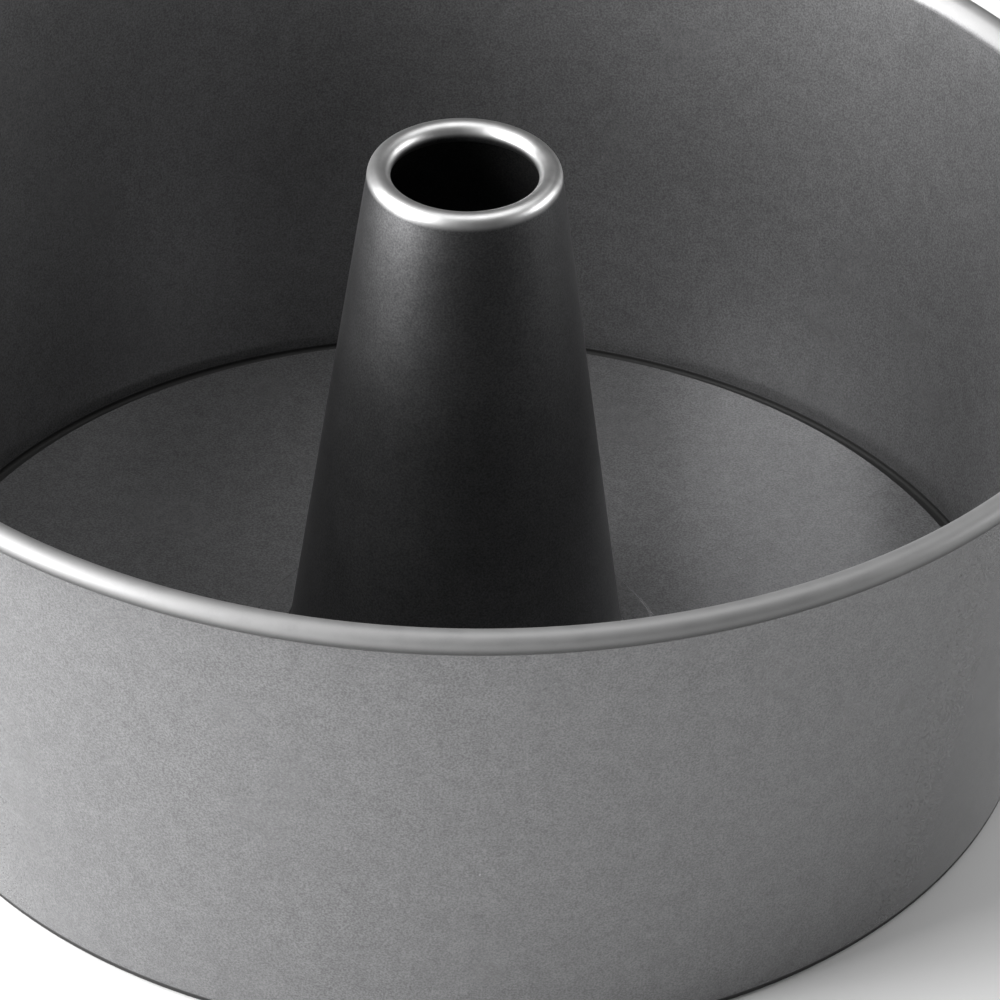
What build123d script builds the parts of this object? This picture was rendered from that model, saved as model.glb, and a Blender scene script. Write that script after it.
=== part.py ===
from build123d import *
import os
from math import cos, radians, sin

# A round cake pan in two halves that lift apart: a tapered side wall with a rolled rim and
# an inward ledge, and a flat base with a tall conical tube, which lies loose on the ledge's hem.
# The pan stands on z = 0 and its axis is the Z axis. Lengths are millimetres, angles degrees.

# Sheet steel of the three pressings
wall_gauge = 0.8
plate_gauge = 0.8
tube_gauge = 0.8

# Side wall
rim_radius = 127.0          # outside of the rolled rim
rim_height = 103.0          # top of the rolled rim
wall_slope = 7.4            # lean of the wall from upright
rim_roll_radius = 2.25      # outside of the roll
rim_roll_turn = 280.0       # how far the sheet is rolled round
flare_radius = 6.0          # where the wall turns out into the roll, to the outer face
flare_lean = 40.0           # lean from upright where the roll begins
wall_foot_bend = 0.7        # inside of the bend between wall and ledge
ledge_width = 9.0           # flat of the ledge that the pan stands on
hem_bend = 0.15             # inside of the fold at the ledge's edge
hem_width = 5.0             # flat folded back on the ledge, which carries the base

# Wire inside the rim
wire_gap = 0.1              # all round, between the wire and the roll

# Base plate, with a raised collar round the tube
plate_edge_gap = 2.5        # from the plate's edge to the start of the wall's bend
collar_bend = 0.25          # inside of the two bends of the step at the collar's edge
collar_angle = 50.0         # slope of the step

# Centre tube
tube_height = 113.6         # top of the lip
tube_bore_radius = 13.5     # narrowest opening, inside the lip
tube_slope = 7.8            # lean of the cone from upright
lip_roll_radius = 2.15      # outside of the inward roll
lip_roll_turn = 285.0
bead_bend = 0.3             # inside of the bends of the bead that locks the tube
bead_angle = 75.0           # how far each side of the bead turns out of the cone
tube_foot_bend = 0.3        # inside of the bend between cone and flange
flange_width = 5.4          # flat ring under the collar

# Lock between tube and plate
lock_gap = 0.05             # bead to plate
hole_gap = 0.15             # plate's hole to the end of the tube's foot bend
flange_recess = 0.2         # flange above the underside of the plate
flange_gap = 0.9            # flange's edge to the start of the collar's step

# Side wall: one strip of sheet followed from the end of the roll, over the rim, down the
# wall, round the foot, in along the ledge and back over it in a hem, which holds the base up
# clear of the bend. Each radius here is to the middle of the sheet.
rim_roll_mid = rim_roll_radius - wall_gauge / 2
flare_mid = flare_radius + wall_gauge / 2
wall_foot_mid = wall_foot_bend + wall_gauge / 2
hem_mid = hem_bend + wall_gauge / 2
rim_roll_centre = (rim_radius - rim_roll_radius, rim_height - rim_roll_radius)
wall_foot_rise = wall_foot_mid * (1 - sin(radians(wall_slope)))

with BuildPart() as side_wall:
    with BuildSketch(Plane.XZ):
        with BuildLine():
            rim_roll = CenterArc(rim_roll_centre, rim_roll_mid, 180 - flare_lean, -rim_roll_turn)
            flare = JernArc(rim_roll @ 0, -(rim_roll % 0), flare_mid, flare_lean - wall_slope)
            wall_drop = (flare @ 1).Y - wall_gauge / 2 - wall_foot_rise
            wall = PolarLine(
                flare @ 1, wall_drop, direction=flare % 1, length_mode=LengthMode.VERTICAL
            )
            wall_foot = JernArc(wall @ 1, wall % 1, wall_foot_mid, wall_slope - 90)
            ledge = Line(wall_foot @ 1, wall_foot @ 1 - Vector(ledge_width, 0))
            hem_fold = JernArc(ledge @ 1, ledge % 1, hem_mid, -180)
            hem = Line(hem_fold @ 1, hem_fold @ 1 + Vector(hem_width, 0))
        trace(line_width=wall_gauge)
    revolve(axis=Axis.Z)
side_wall.part.label = "side_wall"

# Rim wire: a hidden hoop that the rim is rolled round, which keeps it round and stiff.
wire_radius = rim_roll_radius - wall_gauge - wire_gap

with BuildPart() as rim_wire:
    with BuildSketch(Plane.XZ):
        with Locations(rim_roll_centre):
            Circle(wire_radius)
    revolve(axis=Axis.Z)
rim_wire.part.label = "rim_wire"

# Centre tube: a strip of sheet from the end of the lip's inward roll, down the cone, out and
# back round the lock bead, and out along the flange under the plate.
plate_underside = (hem @ 1).Y + wall_gauge / 2
flange_middle = plate_underside + flange_recess + tube_gauge / 2
collar_underside = flange_middle + tube_gauge / 2
collar_top = collar_underside + plate_gauge
lip_roll_mid = lip_roll_radius - tube_gauge / 2
tube_foot_mid = tube_foot_bend + tube_gauge / 2
bead_mid = bead_bend + tube_gauge / 2
lip_roll_centre = (tube_bore_radius + lip_roll_radius, tube_height - lip_roll_radius)
bead_middle = collar_top + lock_gap + (bead_mid + tube_gauge / 2) * sin(radians(bead_angle))
bead_half = 2 * bead_mid * sin(radians(bead_angle)) * cos(radians(tube_slope))
tube_foot_rise = tube_foot_mid * (1 - sin(radians(tube_slope)))

with BuildPart() as centre_tube:
    with BuildSketch(Plane.XZ):
        with BuildLine():
            lip_roll = CenterArc(lip_roll_centre, lip_roll_mid, tube_slope, lip_roll_turn)
            cone_drop = (lip_roll @ 0).Y - bead_middle - bead_half
            cone = PolarLine(
                lip_roll @ 0, cone_drop, direction=-(lip_roll % 0), length_mode=LengthMode.VERTICAL
            )
            bead_out = JernArc(cone @ 1, cone % 1, bead_mid, bead_angle)
            bead_nose = JernArc(bead_out @ 1, bead_out % 1, bead_mid, -2 * bead_angle)
            bead_in = JernArc(bead_nose @ 1, bead_nose % 1, bead_mid, bead_angle)
            throat_drop = (bead_in @ 1).Y - flange_middle - tube_foot_rise
            throat = PolarLine(
                bead_in @ 1, throat_drop, direction=bead_in % 1, length_mode=LengthMode.VERTICAL
            )
            tube_foot = JernArc(throat @ 1, throat % 1, tube_foot_mid, 90 - tube_slope)
            flange = Line(tube_foot @ 1, tube_foot @ 1 + Vector(flange_width, 0))
        trace(line_width=tube_gauge)
    revolve(axis=Axis.Z)
centre_tube.part.label = "centre_tube"

# Base plate: from the hole round the tube, over the raised collar and down its step to the
# flat that holds the cake, and out to the edge that lies on the ledge.
plate_radius = (wall_foot @ 1).X - plate_edge_gap
hole_radius = (tube_foot @ 1).X + hole_gap
collar_radius = (flange @ 1).X + flange_gap
plate_middle = plate_underside + plate_gauge / 2
collar_bend_mid = collar_bend + plate_gauge / 2
collar_rise = collar_top - plate_gauge / 2 - plate_middle
step_drop = collar_rise - 2 * collar_bend_mid * (1 - cos(radians(collar_angle)))

with BuildPart() as base_plate:
    with BuildSketch(Plane.XZ):
        with BuildLine():
            collar = Line(
                (hole_radius, plate_middle + collar_rise),
                (collar_radius, plate_middle + collar_rise),
            )
            step_top = JernArc(collar @ 1, collar % 1, collar_bend_mid, -collar_angle)
            step = PolarLine(
                step_top @ 1, step_drop, direction=step_top % 1, length_mode=LengthMode.VERTICAL
            )
            step_foot = JernArc(step @ 1, step % 1, collar_bend_mid, collar_angle)
            floor = Line(step_foot @ 1, (plate_radius, plate_middle))
        trace(line_width=plate_gauge)
    revolve(axis=Axis.Z)
base_plate.part.label = "base_plate"

os.makedirs("parts", exist_ok=True)
export_step(side_wall.part, "parts/side_wall.step")
export_step(rim_wire.part, "parts/rim_wire.step")
export_step(base_plate.part, "parts/base_plate.step")
export_step(centre_tube.part, "parts/centre_tube.step")
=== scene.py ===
from math import cos, radians, sin, tau

import bmesh
import bpy
from mathutils import Matrix, Vector


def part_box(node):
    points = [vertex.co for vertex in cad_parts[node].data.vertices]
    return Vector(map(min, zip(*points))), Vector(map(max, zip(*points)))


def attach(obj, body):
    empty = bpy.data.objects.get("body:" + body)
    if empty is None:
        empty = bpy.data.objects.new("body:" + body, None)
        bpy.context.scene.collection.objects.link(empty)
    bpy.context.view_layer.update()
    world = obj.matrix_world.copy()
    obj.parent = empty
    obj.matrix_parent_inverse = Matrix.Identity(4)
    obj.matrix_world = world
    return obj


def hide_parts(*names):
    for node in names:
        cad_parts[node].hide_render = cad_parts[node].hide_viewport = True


# A round cake pan of coated sheet steel: a tapered side wall with a rolled rim, and a loose
# base that carries a tall hollow cone. Every piece is spun from the middle line of its sheet.
# Lengths are metres, angles are degrees.
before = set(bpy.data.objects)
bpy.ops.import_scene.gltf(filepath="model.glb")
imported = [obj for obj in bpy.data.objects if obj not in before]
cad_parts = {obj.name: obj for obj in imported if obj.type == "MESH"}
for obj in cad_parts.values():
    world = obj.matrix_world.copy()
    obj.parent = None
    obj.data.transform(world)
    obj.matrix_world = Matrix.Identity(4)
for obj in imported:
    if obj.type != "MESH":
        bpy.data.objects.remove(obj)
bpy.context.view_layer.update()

mm = 0.001

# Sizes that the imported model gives
rim_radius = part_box("side_wall")[1].x
rim_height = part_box("side_wall")[1].z
wire_radius = (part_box("rim_wire")[1].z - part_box("rim_wire")[0].z) / 2
wire_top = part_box("rim_wire")[1].z
plate_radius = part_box("base_plate")[1].x
plate_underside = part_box("base_plate")[0].z
collar_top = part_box("base_plate")[1].z
flange_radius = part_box("centre_tube")[1].x
flange_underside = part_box("centre_tube")[0].z
tube_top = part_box("centre_tube")[1].z

# Sheet
gauge = 0.8 * mm
broken_edge = 0.12 * mm
sheared_edge = 0.04 * mm

# Side wall
wall_slope = 7.4
rim_roll_radius = 2.25 * mm
rim_roll_turn = 280
flare_radius = 6.0 * mm
flare_lean = 40
wall_foot_bend = 0.7 * mm
ledge_width = 9.0 * mm
hem_bend = 0.15 * mm
hem_width = 5.0 * mm

# Centre tube
tube_bore_radius = 13.5 * mm
tube_slope = 7.8
lip_roll_radius = 2.15 * mm
lip_roll_turn = 285
bead_bend = 0.3 * mm
bead_angle = 75
tube_foot_bend = 0.3 * mm
lock_gap = 0.05 * mm

# Base plate
flange_gap = 0.9 * mm
hole_gap = 0.15 * mm
collar_bend = 0.25 * mm
collar_angle = 50

# Centres of the rim's roll and of the lip's roll
roll_centre_r = rim_radius - rim_roll_radius
roll_centre_z = rim_height - rim_roll_radius
lip_centre_r = tube_bore_radius + lip_roll_radius
lip_centre_z = tube_top - lip_roll_radius

# Fineness of the meshes
steps_round = 256
bend_step = 8
fewest_bend_steps = 3
steps_along = 12
steps_across = 2
wire_sides = 24
floor_sides = 96
weld_distance = 0.001 * mm
broken_edge_steps = 2
sharpest_bend = 60


class Strip:
    """The middle line of a strip of sheet in the XZ plane, followed from cut edge to cut edge."""

    def __init__(self, radius, height, heading):
        self.mesh = bmesh.new()
        self.end = bmesh.ops.create_vert(self.mesh, co=(radius, 0, height))["vert"][0]
        self.heading = heading

    def bend(self, radius, turn):
        """Bends on, to the left where turn is positive, round a circle of that radius."""
        towards = radians(self.heading + (90 if turn > 0 else -90))
        centre = self.end.co + radius * Vector((cos(towards), 0, sin(towards)))
        steps = max(fewest_bend_steps, round(abs(turn) / bend_step))
        made = bmesh.ops.spin(
            self.mesh, geom=[self.end], cent=centre, axis=(0, -1, 0),
            angle=radians(turn), steps=steps,
        )
        self.end = [v for v in made["geom_last"] if isinstance(v, bmesh.types.BMVert)][0]
        self.heading += turn

    def run(self, length, lengths=1):
        """Runs straight on, in that many equal lengths."""
        heading = radians(self.heading)
        step = length / lengths * Vector((cos(heading), 0, sin(heading)))
        for _ in range(lengths):
            self.end = bmesh.ops.extrude_vert_indiv(self.mesh, verts=[self.end])["verts"][0]
            bmesh.ops.translate(self.mesh, verts=[self.end], vec=step)


def spin_round(mesh):
    """Spins a line in the XZ plane once round the Z axis."""
    bmesh.ops.spin(
        mesh, geom=mesh.verts[:] + mesh.edges[:], cent=(0, 0, 0), axis=(0, 0, 1),
        angle=tau, steps=steps_round, use_merge=True,
    )
    bmesh.ops.remove_doubles(mesh, verts=mesh.verts[:], dist=weld_distance)
    bmesh.ops.recalc_face_normals(mesh, faces=mesh.faces[:])
    for face in mesh.faces:
        face.smooth = True


def object_from(mesh, name, material):
    """Puts the finished mesh into the scene as an object."""
    data = bpy.data.meshes.new(name)
    mesh.to_mesh(data)
    mesh.free()
    data.materials.append(material)
    made = bpy.data.objects.new(name, data)
    bpy.context.scene.collection.objects.link(made)
    return made


def piece_from(mesh, name, body, material):
    """Makes the finished mesh a piece of the pan that moves with a body."""
    piece = object_from(mesh, name, material)
    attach(piece, body)
    return piece


def give_thickness(piece, thickness, broken):
    """Turns a spun surface into sheet, with its cut edges broken by that much."""
    solidify = piece.modifiers.new("sheet", "SOLIDIFY")
    solidify.thickness = thickness
    solidify.offset = 0
    solidify.use_even_offset = True
    edges = piece.modifiers.new("broken_edges", "BEVEL")
    edges.width = broken
    edges.segments = broken_edge_steps
    edges.limit_method = "ANGLE"
    edges.angle_limit = radians(sharpest_bend)
    edges.harden_normals = True


def linear(hex_colour):
    """The linear colour of an sRGB hex value."""
    channels = [int(hex_colour[i:i + 2], 16) / 255 for i in (1, 3, 5)]
    return [c / 12.92 if c <= 0.04045 else ((c + 0.055) / 1.055) ** 2.4 for c in channels] + [1.0]


def new_material(name):
    """An empty node material, and its node tree."""
    material = bpy.data.materials.new(name)
    material.use_nodes = True
    material.node_tree.nodes.clear()
    return material, material.node_tree


def socket(sockets, name):
    """The socket of that name, or at that place, which the node uses as it is set."""
    if isinstance(name, int):
        return sockets[name]
    return next(s for s in sockets if s.name == name and s.enabled)


def add(tree, kind, settings=(), inputs=(), links=()):
    """Adds a node: its settings, its unlinked inputs, and what is linked to its inputs."""
    node = tree.nodes.new(kind)
    for name, value in dict(settings).items():
        setattr(node, name, value)
    for name, value in dict(inputs).items():
        socket(node.inputs, name).default_value = value
    for name, source in dict(links).items():
        tree.links.new(source, socket(node.inputs, name))
    return node


def nonstick_coating(name, shades, metallic, satin, rolled=None, painted_shade_rings=()):
    """Sprayed and baked non-stick coating on pressed steel: a mid grey with a satin metallic
    sheen, a fine speckle of flake, and the slight orange peel and cloudiness of a sprayed film.

    Over a rolled edge the film is painted lighter and its highlight is broad and soft: on the
    rim that lightening is a painted highlight, and on the tube's lip it is partly real wear, where
    the film is worn thin, and partly a painted highlight. rolled gives the height where that
    begins, over how much it comes, its shade and its roughness. The last argument lists rings of
    painted shade, where the film is painted dark and made matt: each gives its lowest and highest
    height, its inner radius, over how much it fades, and how far it goes."""
    flake, orange_peel, mottle, cloud = 0.35 * mm, 1.4 * mm, 3.5 * mm, 24 * mm
    # Spans of the noise values that the speckle and sheen, the depth and the rubbing follow
    wide_span, depth_span, wear_and_highlight_span = (0.3, 0.7), (0.35, 0.65), (0.35, 0.6)
    film_tints = ("#F4F4F4", "#FFFFFF")
    sheen_spread = 0.03
    least_wear_and_highlight = 0.85
    mottle_height = 1.2
    wave_height, wave_strength = 0.02 * mm, 0.5
    # Shade and roughness of the rings of painted shade
    painted_shade_tone, painted_shade_roughness = "#262626", 0.7
    smooth_step = {"interpolation_type": "SMOOTHSTEP"}
    material, tree = new_material(name)
    place = add(tree, "ShaderNodeTexCoord").outputs["Object"]
    flakes, peel, mottles, clouds = [
        add(
            tree, "ShaderNodeTexNoise", inputs={"Scale": 1 / size, "Detail": detail},
            links={"Vector": place},
        ).outputs["Fac"]
        for size, detail in ((flake, 1.0), (orange_peel, 2.0), (mottle, 2.0), (cloud, 2.0))
    ]
    height = add(tree, "ShaderNodeSeparateXYZ", links={"Vector": place}).outputs["Z"]
    level = add(
        tree, "ShaderNodeVectorMath", {"operation": "MULTIPLY"}, {1: (1, 1, 0)}, {0: place}
    )
    from_axis = add(
        tree, "ShaderNodeVectorMath", {"operation": "LENGTH"}, links={0: level.outputs["Vector"]}
    ).outputs["Value"]

    # The speckle of flake, and the thicker and thinner places in the film over it
    speckle = add(tree, "ShaderNodeValToRGB", links={"Fac": flakes})
    depth = add(tree, "ShaderNodeValToRGB", links={"Fac": mottles})
    for node, span, tints in ((speckle, wide_span, shades), (depth, depth_span, film_tints)):
        for element, position, tint in zip(node.color_ramp.elements, span, tints):
            element.position = position
            element.color = linear(tint)
    film = add(
        tree, "ShaderNodeMix", {"data_type": "RGBA", "blend_type": "MULTIPLY"}, {"Factor": 1.0},
        {"A": speckle.outputs["Color"], "B": depth.outputs["Color"]},
    )
    sheen = add(
        tree, "ShaderNodeMapRange",
        inputs={
            "From Min": wide_span[0], "From Max": wide_span[1],
            "To Min": satin - sheen_spread, "To Max": satin + sheen_spread,
        },
        links={"Value": clouds},
    )

    # Places where the film's colour is changed, by painted highlight over a roll and by painted
    # shade in rings: how far, from none to all of it, its shade and its roughness
    places = []
    # Painted highlight over a roll, which on the tube's lip also stands for real wear: a lighter
    # shade that fades in above the given height, patchy with the mottle
    if rolled:
        begins, over, shade, rough = rolled
        over_roll = add(
            tree, "ShaderNodeMapRange", smooth_step,
            {"From Min": begins - over, "From Max": begins + over}, {"Value": height},
        )
        patchy_wear_and_highlight = add(
            tree, "ShaderNodeMapRange",
            inputs={
                "From Min": wear_and_highlight_span[0], "From Max": wear_and_highlight_span[1],
                "To Min": least_wear_and_highlight, "To Max": 1.0,
            },
            links={"Value": mottles},
        )
        bright = add(
            tree, "ShaderNodeMath", {"operation": "MULTIPLY"},
            links={0: over_roll.outputs["Result"], 1: patchy_wear_and_highlight.outputs["Result"]},
        )
        places.append((bright.outputs["Value"], shade, rough))
    # Rings of painted shade: the film is painted dark and made matt where shade falls, in a bend or
    # under a roll
    for low, high, inner, fade, strength in painted_shade_rings:
        above = add(
            tree, "ShaderNodeMapRange", smooth_step,
            {"From Min": low - fade, "From Max": low}, {"Value": height},
        )
        below = add(
            tree, "ShaderNodeMapRange", smooth_step,
            {"From Min": high, "From Max": high + fade, "To Min": 1.0, "To Max": 0.0},
            {"Value": height},
        )
        outside = add(
            tree, "ShaderNodeMapRange", smooth_step,
            {"From Min": inner - fade, "From Max": inner, "To Max": strength},
            {"Value": from_axis},
        )
        band = add(
            tree, "ShaderNodeMath", {"operation": "MULTIPLY"},
            links={0: above.outputs["Result"], 1: below.outputs["Result"]},
        )
        ring = add(
            tree, "ShaderNodeMath", {"operation": "MULTIPLY"},
            links={0: band.outputs["Value"], 1: outside.outputs["Result"]},
        )
        places.append((ring.outputs["Value"], painted_shade_tone, painted_shade_roughness))
    colour, roughness = socket(film.outputs, "Result"), sheen.outputs["Result"]
    for how_far, shade, rough in places:
        coloured = add(
            tree, "ShaderNodeMix", {"data_type": "RGBA"}, {"B": linear(shade)},
            {"Factor": how_far, "A": colour},
        )
        roughened = add(
            tree, "ShaderNodeMix", {"data_type": "FLOAT"}, {"B": rough},
            {"Factor": how_far, "A": roughness},
        )
        colour = socket(coloured.outputs, "Result")
        roughness = socket(roughened.outputs, "Result")

    # The film's surface: orange peel on the waves of the mottle
    waves = add(
        tree, "ShaderNodeMath", {"operation": "MULTIPLY_ADD"}, {1: mottle_height},
        {0: mottles, 2: peel},
    )
    bump = add(
        tree, "ShaderNodeBump", inputs={"Strength": wave_strength, "Distance": wave_height},
        links={"Height": waves.outputs["Value"]},
    )
    surface = add(
        tree, "ShaderNodeBsdfPrincipled", inputs={"Metallic": metallic},
        links={"Base Color": colour, "Roughness": roughness, "Normal": bump.outputs["Normal"]},
    )
    add(tree, "ShaderNodeOutputMaterial", links={"Surface": surface.outputs["BSDF"]})
    return material


def drawn_steel_wire():
    """Steel wire, bright from the drawing die, its shine broken by fine marks."""
    mark = 0.3 * mm
    material, tree = new_material("drawn_steel_wire")
    place = add(tree, "ShaderNodeTexCoord").outputs["Object"]
    marks = add(
        tree, "ShaderNodeTexNoise", inputs={"Scale": 1 / mark, "Detail": 2.0},
        links={"Vector": place},
    )
    shine = add(
        tree, "ShaderNodeMapRange", inputs={"To Min": 0.25, "To Max": 0.45},
        links={"Value": marks.outputs["Fac"]},
    )
    surface = add(
        tree, "ShaderNodeBsdfPrincipled", inputs={"Metallic": 1.0, "Base Color": linear("#B9B7B3")},
        links={"Roughness": shine.outputs["Result"]},
    )
    add(tree, "ShaderNodeOutputMaterial", links={"Surface": surface.outputs["BSDF"]})
    return material


def pale_floor():
    """A plain matt white board with the faintest cloudiness."""
    cloud = 250 * mm
    material, tree = new_material("matt_white_board")
    place = add(tree, "ShaderNodeTexCoord").outputs["Object"]
    clouds = add(
        tree, "ShaderNodeTexNoise", inputs={"Scale": 1 / cloud, "Detail": 3.0},
        links={"Vector": place},
    )
    tint = add(tree, "ShaderNodeValToRGB", links={"Fac": clouds.outputs["Fac"]})
    for element, shade in zip(tint.color_ramp.elements, ("#D4D4D4", "#D9D9D9")):
        element.color = linear(shade)
    surface = add(
        tree, "ShaderNodeBsdfPrincipled", inputs={"Roughness": 0.8},
        links={"Base Color": tint.outputs["Color"]},
    )
    add(tree, "ShaderNodeOutputMaterial", links={"Surface": surface.outputs["BSDF"]})
    return material


# The wall and the base have the same film; the tube's is painted darker, as painted shade. The
# rolls are painted lighter, a painted highlight that on the lip also stands for real wear, and
# the wall has painted shade, dark and matt, in the bend beside the base and under its roll.
wall_shades = ("#5E5E5F", "#7A7A7B")
# The tube's tones are the wall's film painted darker, as painted shade on the tube
tube_shaded_tones = ("#525253", "#6A6A6B")
roll_shoulder = roll_centre_z - 0.5 * rim_roll_radius
# Painted highlight: the upper part of the rim's roll is painted lighter, and it is also rougher
painted_rim_highlight = (roll_centre_z - 0.4 * rim_roll_radius, 1.1 * mm, "#808080", 0.56)
# The lip's roll is painted lighter: partly real wear, where the film is worn thin, and partly a
# painted highlight
rubbed_and_highlit_lip = (lip_centre_z, 0.6 * mm, "#C2C2C2", 0.42)
# Painted shade in the bend at the foot of the wall, inside beside the base and outside
painted_foot_shade = (gauge, gauge + wall_foot_bend, plate_radius, 0.6 * mm, 1.0)
# Painted shade on the lower half of the rim's roll, where it turns down into shade
painted_shade_under_roll = (
    roll_shoulder, roll_shoulder, rim_radius - 0.5 * rim_roll_radius, 0.85 * rim_roll_radius, 0.75,
)
wall_coating = nonstick_coating(
    "nonstick_coated_wall", wall_shades, metallic=0.5, satin=0.25,
    rolled=painted_rim_highlight, painted_shade_rings=(painted_foot_shade, painted_shade_under_roll),
)
base_coating = nonstick_coating("nonstick_coated_base", wall_shades, metallic=0.5, satin=0.25)
tube_coating = nonstick_coating(
    "nonstick_coated_tube", tube_shaded_tones, metallic=0.95, satin=0.42, rolled=rubbed_and_highlit_lip,
)
wire_steel = drawn_steel_wire()

# Side wall: the free end of the roll, over the rim, down the wall, in along the ledge and
# back over it in the hem that the base lies on.
rim_roll_mid = rim_roll_radius - gauge / 2
flare_mid = flare_radius + gauge / 2
wall_foot_mid = wall_foot_bend + gauge / 2
hem_mid = hem_bend + gauge / 2
rim_roll_end = radians(180 - flare_lean - rim_roll_turn)
rim_roll_start = radians(180 - flare_lean)
flare_drop = flare_mid * (sin(radians(flare_lean)) - sin(radians(wall_slope)))
wall_drop = (
    roll_centre_z + rim_roll_mid * sin(rim_roll_start) - flare_drop
    - gauge / 2 - wall_foot_mid * (1 - sin(radians(wall_slope)))
)
wall_strip = Strip(
    roll_centre_r + rim_roll_mid * cos(rim_roll_end),
    roll_centre_z + rim_roll_mid * sin(rim_roll_end),
    270 - flare_lean - rim_roll_turn,
)
wall_strip.bend(rim_roll_mid, rim_roll_turn)
wall_strip.bend(flare_mid, flare_lean - wall_slope)
wall_strip.run(wall_drop / cos(radians(wall_slope)), steps_along)
wall_strip.bend(wall_foot_mid, wall_slope - 90)
wall_strip.run(ledge_width, steps_across)
wall_strip.bend(hem_mid, -180)
wall_strip.run(hem_width)
spin_round(wall_strip.mesh)
side_wall = piece_from(wall_strip.mesh, "side_wall_sheet", "pan_wall", wall_coating)
give_thickness(side_wall, gauge, broken_edge)
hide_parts("side_wall")

# Rim wire: a hoop that the rim is rolled round.
hoop = bmesh.new()
bmesh.ops.create_circle(
    hoop, segments=wire_sides, radius=wire_radius,
    matrix=Matrix.Translation((roll_centre_r, 0, wire_top - wire_radius))
    @ Matrix.Rotation(radians(90), 4, "X"),
)
spin_round(hoop)
rim_wire = piece_from(hoop, "rim_wire_hoop", "pan_wall", wire_steel)
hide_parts("rim_wire")

# Centre tube: the free end of the lip's inward roll, down the cone, out and back round the
# lock bead, and out along the flange under the plate.
lip_roll_mid = lip_roll_radius - gauge / 2
tube_foot_mid = tube_foot_bend + gauge / 2
bead_mid = bead_bend + gauge / 2
flange_middle = flange_underside + gauge / 2
bead_middle = collar_top + lock_gap + (bead_mid + gauge / 2) * sin(radians(bead_angle))
bead_half = 2 * bead_mid * sin(radians(bead_angle)) * cos(radians(tube_slope))
lip_roll_start = radians(tube_slope + lip_roll_turn)
cone_drop = lip_centre_z + lip_roll_mid * sin(radians(tube_slope)) - bead_middle - bead_half
throat_drop = (
    bead_middle - bead_half - flange_middle - tube_foot_mid * (1 - sin(radians(tube_slope)))
)
tube_strip = Strip(
    lip_centre_r + lip_roll_mid * cos(lip_roll_start),
    lip_centre_z + lip_roll_mid * sin(lip_roll_start),
    tube_slope + lip_roll_turn - 90,
)
tube_strip.bend(lip_roll_mid, -lip_roll_turn)
tube_strip.run(cone_drop / cos(radians(tube_slope)), steps_along)
tube_strip.bend(bead_mid, bead_angle)
tube_strip.bend(bead_mid, -2 * bead_angle)
tube_strip.bend(bead_mid, bead_angle)
tube_strip.run(throat_drop / cos(radians(tube_slope)))
tube_strip.bend(tube_foot_mid, 90 - tube_slope)
hole_radius = tube_strip.end.co.x + hole_gap
tube_strip.run(flange_radius - tube_strip.end.co.x)
spin_round(tube_strip.mesh)
centre_tube = piece_from(tube_strip.mesh, "centre_tube_sheet", "lift_out_base", tube_coating)
give_thickness(centre_tube, gauge, broken_edge)
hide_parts("centre_tube")

# Base plate: from the hole round the tube, over the collar and down its step to the flat.
collar_bend_mid = collar_bend + gauge / 2
plate_middle = plate_underside + gauge / 2
collar_middle = collar_top - gauge / 2
step_drop = (
    collar_middle - plate_middle - 2 * collar_bend_mid * (1 - cos(radians(collar_angle)))
)
plate_strip = Strip(hole_radius, collar_middle, 0)
plate_strip.run(flange_radius + flange_gap - hole_radius, steps_across)
plate_strip.bend(collar_bend_mid, -collar_angle)
plate_strip.run(step_drop / sin(radians(collar_angle)))
plate_strip.bend(collar_bend_mid, collar_angle)
plate_strip.run(plate_radius - plate_strip.end.co.x, steps_along)
spin_round(plate_strip.mesh)
base_plate = piece_from(plate_strip.mesh, "base_plate_sheet", "lift_out_base", base_coating)
give_thickness(base_plate, gauge, sheared_edge)
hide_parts("base_plate")

# Floor
floor_radius = 4.0
board = bmesh.new()
bmesh.ops.create_circle(board, cap_ends=True, segments=floor_sides, radius=floor_radius)
floor = object_from(board, "floor", pale_floor())

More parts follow.
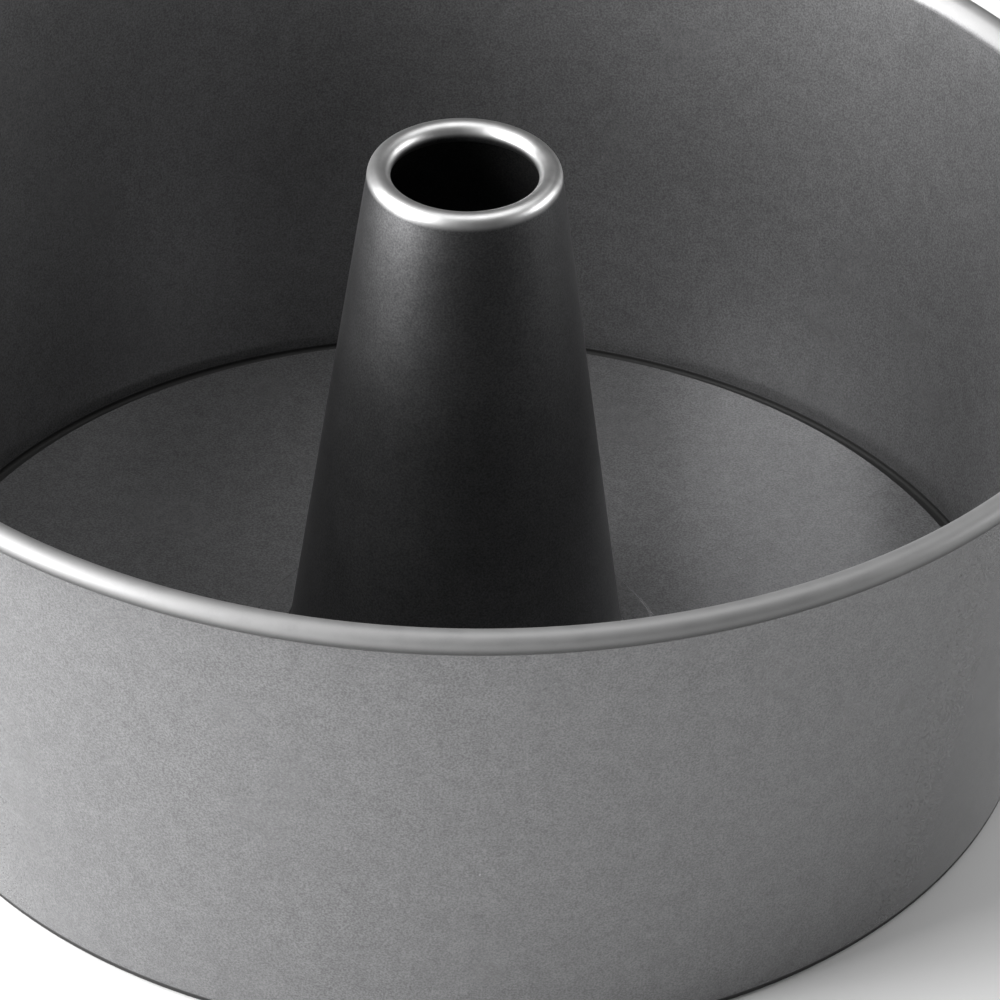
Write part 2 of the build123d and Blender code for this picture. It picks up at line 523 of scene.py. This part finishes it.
# Softboxes that face the middle of the pan. Azimuth 0 is the camera's side and 90 is to its
# right. The main light is one tall bank on the left; the others only lift the shadows.
softbox_distance = 1.3
for name, azimuth, elevation, width, height, watts in (
    ("low_left_softbox", -75, 9, 1.1, 0.42, 40),
    ("left_softbox", -68, 27, 0.8, 0.42, 12),
    ("high_left_softbox", -82, 46, 0.9, 0.5, 16),
    ("back_left_softbox", -115, 54, 0.8, 0.5, 1.5),
    ("top_softbox", 0, 88, 0.7, 0.7, 4.0),
    ("high_right_softbox", 115, 64, 0.9, 0.7, 4.4),
    ("low_right_softbox", 97, 15, 0.8, 0.5, 10),
):
    panel = bpy.data.lights.new(name, "AREA")
    panel.shape = "RECTANGLE"
    panel.size = width
    panel.size_y = height
    panel.energy = watts
    softbox = bpy.data.objects.new(name, panel)
    a, e = radians(azimuth), radians(elevation)
    outward = Vector((sin(a) * cos(e), -cos(a) * cos(e), sin(e)))
    softbox.location = Vector((0, 0, rim_height / 2)) + softbox_distance * outward
    softbox.rotation_euler = outward.to_track_quat("Z", "Y").to_euler()
    bpy.context.scene.collection.objects.link(softbox)

world = bpy.data.worlds.new("studio")
bpy.context.scene.world = world
world.use_nodes = True
surroundings = world.node_tree.nodes["Background"].inputs
surroundings["Color"].default_value = linear("#F4F4F4")
surroundings["Strength"].default_value = 0.02
bpy.context.scene.view_settings.view_transform = "Standard"

# Camera, solved from the edges of the rim, foot, base and tube in the photograph
camera_away = 0.86698
camera_height = 0.66829
camera_turn = 0.520
camera_dip = 35.962
camera_roll = 1.487
photo_width = 1000
focal_pixels = 5687.4

lens = bpy.data.cameras.new("camera")
lens.sensor_width = 36
lens.lens = lens.sensor_width * focal_pixels / photo_width
camera = bpy.data.objects.new("camera", lens)
camera.matrix_world = (
    Matrix.Translation((0, -camera_away, camera_height))
    @ Matrix.Rotation(-radians(camera_turn), 4, "Z")
    @ Matrix.Rotation(radians(90 - camera_dip), 4, "X")
    @ Matrix.Rotation(radians(camera_roll), 4, "Z")
)
bpy.context.scene.collection.objects.link(camera)
bpy.context.scene.camera = camera
